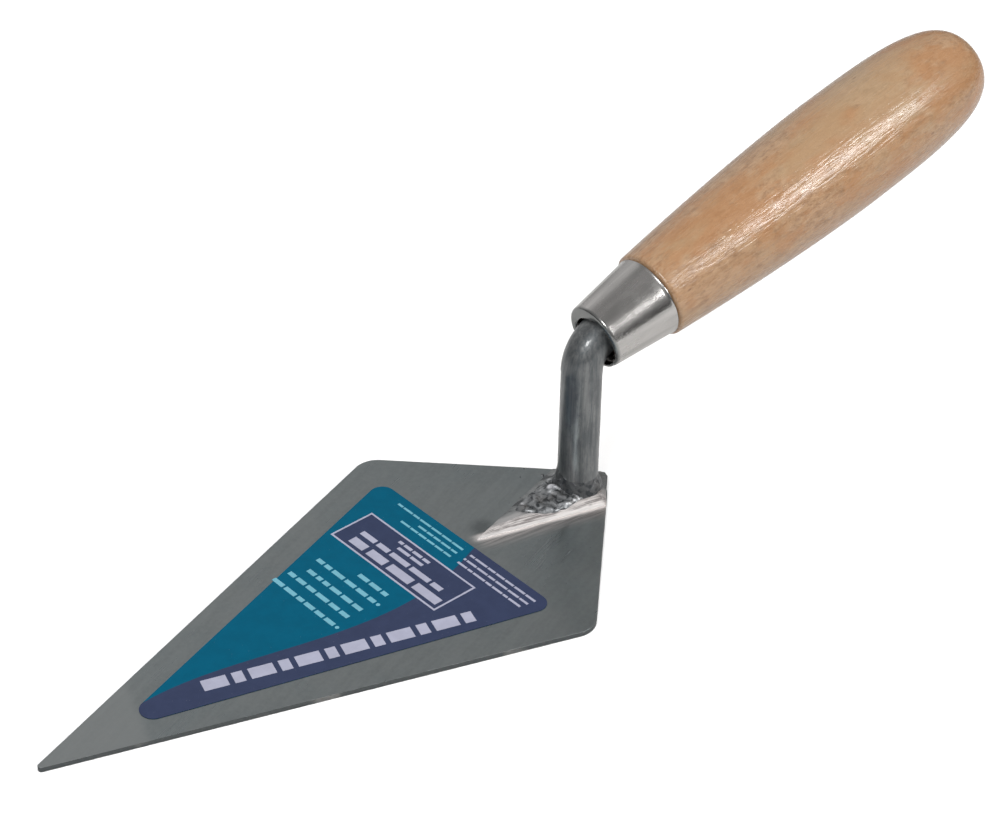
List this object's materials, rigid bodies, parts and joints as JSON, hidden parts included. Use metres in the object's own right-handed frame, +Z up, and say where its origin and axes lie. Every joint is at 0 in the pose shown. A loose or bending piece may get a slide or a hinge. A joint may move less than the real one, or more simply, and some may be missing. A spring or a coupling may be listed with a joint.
{
  "type": "pointing trowel",
  "caption": "Small pointing trowel: a flat kite-shaped steel blade welded to a cranked round tang, with a ferrule and a turned wooden handle.",
  "frame": {"origin": "where the axis of the tang's upright riser meets the underside of the blade", "axes": "+X from the blade's point towards the handle, +Z up from the blade, blade symmetric across Y"},
  "size_m": [0.2633, 0.0766, 0.0793],
  "materials": {
    "blade": "brushed, semi-polished",
    "label": "printed film, semi-gloss",
    "foot": "coarsely ground, bright",
    "weld": "rough weld bead with spatter",
    "tang": "dark mill scale under thin lacquer",
    "ferrule": "satin nickel plate, drawn along its length",
    "handle": "lacquered light hardwood, gloss"
  },
  "bodies": {
    "root": {"blade": "blade", "label": "label", "foot": "foot", "front_weld": "weld", "collar_weld": "weld", "tang": "tang", "ferrule": "ferrule", "handle": "handle"}
  },
  "joints": []
}
